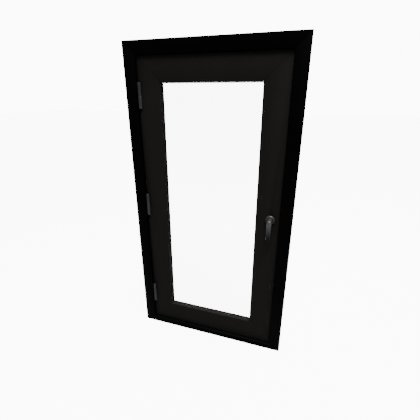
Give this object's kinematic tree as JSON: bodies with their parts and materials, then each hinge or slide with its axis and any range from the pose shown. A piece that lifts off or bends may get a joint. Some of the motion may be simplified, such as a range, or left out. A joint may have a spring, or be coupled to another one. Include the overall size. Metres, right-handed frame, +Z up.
{
  "type": "casement window",
  "caption": "Side-hung, inward-opening casement window with a glazed sash, lift-off barrel hinges and a lever handle driving a concealed lock.",
  "frame": {"origin": "middle of the sill's underside, halfway through the frame's depth", "axes": "+Z up along the height, +Y towards the weather side, +X from the hinges towards the handle; the room is on -Y"},
  "size_m": [0.635, 0.1057, 1.2],
  "materials": {
    "frame_paint": "near-black satin paint",
    "sash_paint": "charcoal satin paint",
    "dark_metal": "dark grey metallic coating",
    "bright_steel": "zinc-plated",
    "spacer_metal": "mill",
    "glass": "clear",
    "seal_rubber": "matte",
    "block_plastic": "matte",
    "tongue_wood": "bare plywood"
  },
  "bodies": {
    "frame": {"frame_head": "frame_paint", "frame_jamb_left": "frame_paint", "frame_jamb_right": "frame_paint", "frame_sill": "frame_paint", "frame_tongue_left": "tongue_wood", "frame_tongue_right": "tongue_wood", "hinge_bottom_frame_half": "dark_metal", "hinge_bottom_pin": "bright_steel", "hinge_middle_frame_half": "dark_metal", "hinge_middle_pin": "bright_steel", "hinge_top_frame_half": "dark_metal", "hinge_top_pin": "bright_steel", "keep_lower": "bright_steel", "keep_upper": "bright_steel", "seal_head": "seal_rubber", "seal_left": "seal_rubber", "seal_right": "seal_rubber", "seal_sill": "seal_rubber"},
    "sash": {"bead_bottom": "sash_paint", "bead_left": "sash_paint", "bead_right": "sash_paint", "bead_top": "sash_paint", "glass_inner": "glass", "glass_outer": "glass", "glass_spacer": "spacer_metal", "glazing_tape": "seal_rubber", "hinge_bottom_sash_half": "dark_metal", "hinge_middle_sash_half": "dark_metal", "hinge_top_sash_half": "dark_metal", "lock_case": "bright_steel", "lock_cover": "bright_steel", "lock_faceplate": "bright_steel", "rosette_cover": "dark_metal", "rosette_plate": "bright_steel", "rosette_screw_lower": "bright_steel", "rosette_screw_upper": "bright_steel", "sash_rail_bottom": "sash_paint", "sash_rail_top": "sash_paint", "sash_stile_hinge": "sash_paint", "sash_stile_lock": "sash_paint", "sash_tongue_bottom_left": "tongue_wood", "sash_tongue_bottom_right": "tongue_wood", "sash_tongue_top_left": "tongue_wood", "sash_tongue_top_right": "tongue_wood", "setting_block_left": "block_plastic", "setting_block_right": "block_plastic"},
    "handle": {"handle_lever": "dark_metal", "handle_spindle": "bright_steel", "lock_follower": "bright_steel"},
    "upper_rod": {"lock_cam_upper": "bright_steel", "lock_rod_upper": "bright_steel"},
    "lower_rod": {"lock_cam_lower": "bright_steel", "lock_rod_lower": "bright_steel"}
  },
  "joints": [
    {"name": "sash_swing", "type": "hinge", "parent": "frame", "child": "sash", "pos_m": [-0.26465, -0.0311, 0.6], "axis": [0, 0, -1], "range_deg": [0, 110]},
    {"name": "handle_turn", "type": "hinge", "parent": "sash", "child": "handle", "pos_m": [0.23752, -0.0277, 0.598], "axis": [0, 1, 0], "range_deg": [0, 90]},
    {"name": "upper_rod_slide", "type": "slide", "parent": "sash", "child": "upper_rod", "axis": [0, 0, 1], "range_m": [-0.018, 0]},
    {"name": "lower_rod_slide", "type": "slide", "parent": "sash", "child": "lower_rod", "axis": [0, 0, 1], "range_m": [0, 0.018]}
  ],
  "couplings": [
    {"joint": "upper_rod_slide", "follows": "handle_turn", "m_per_rad": -0.011459},
    {"joint": "lower_rod_slide", "follows": "handle_turn", "m_per_rad": 0.011459}
  ]
}
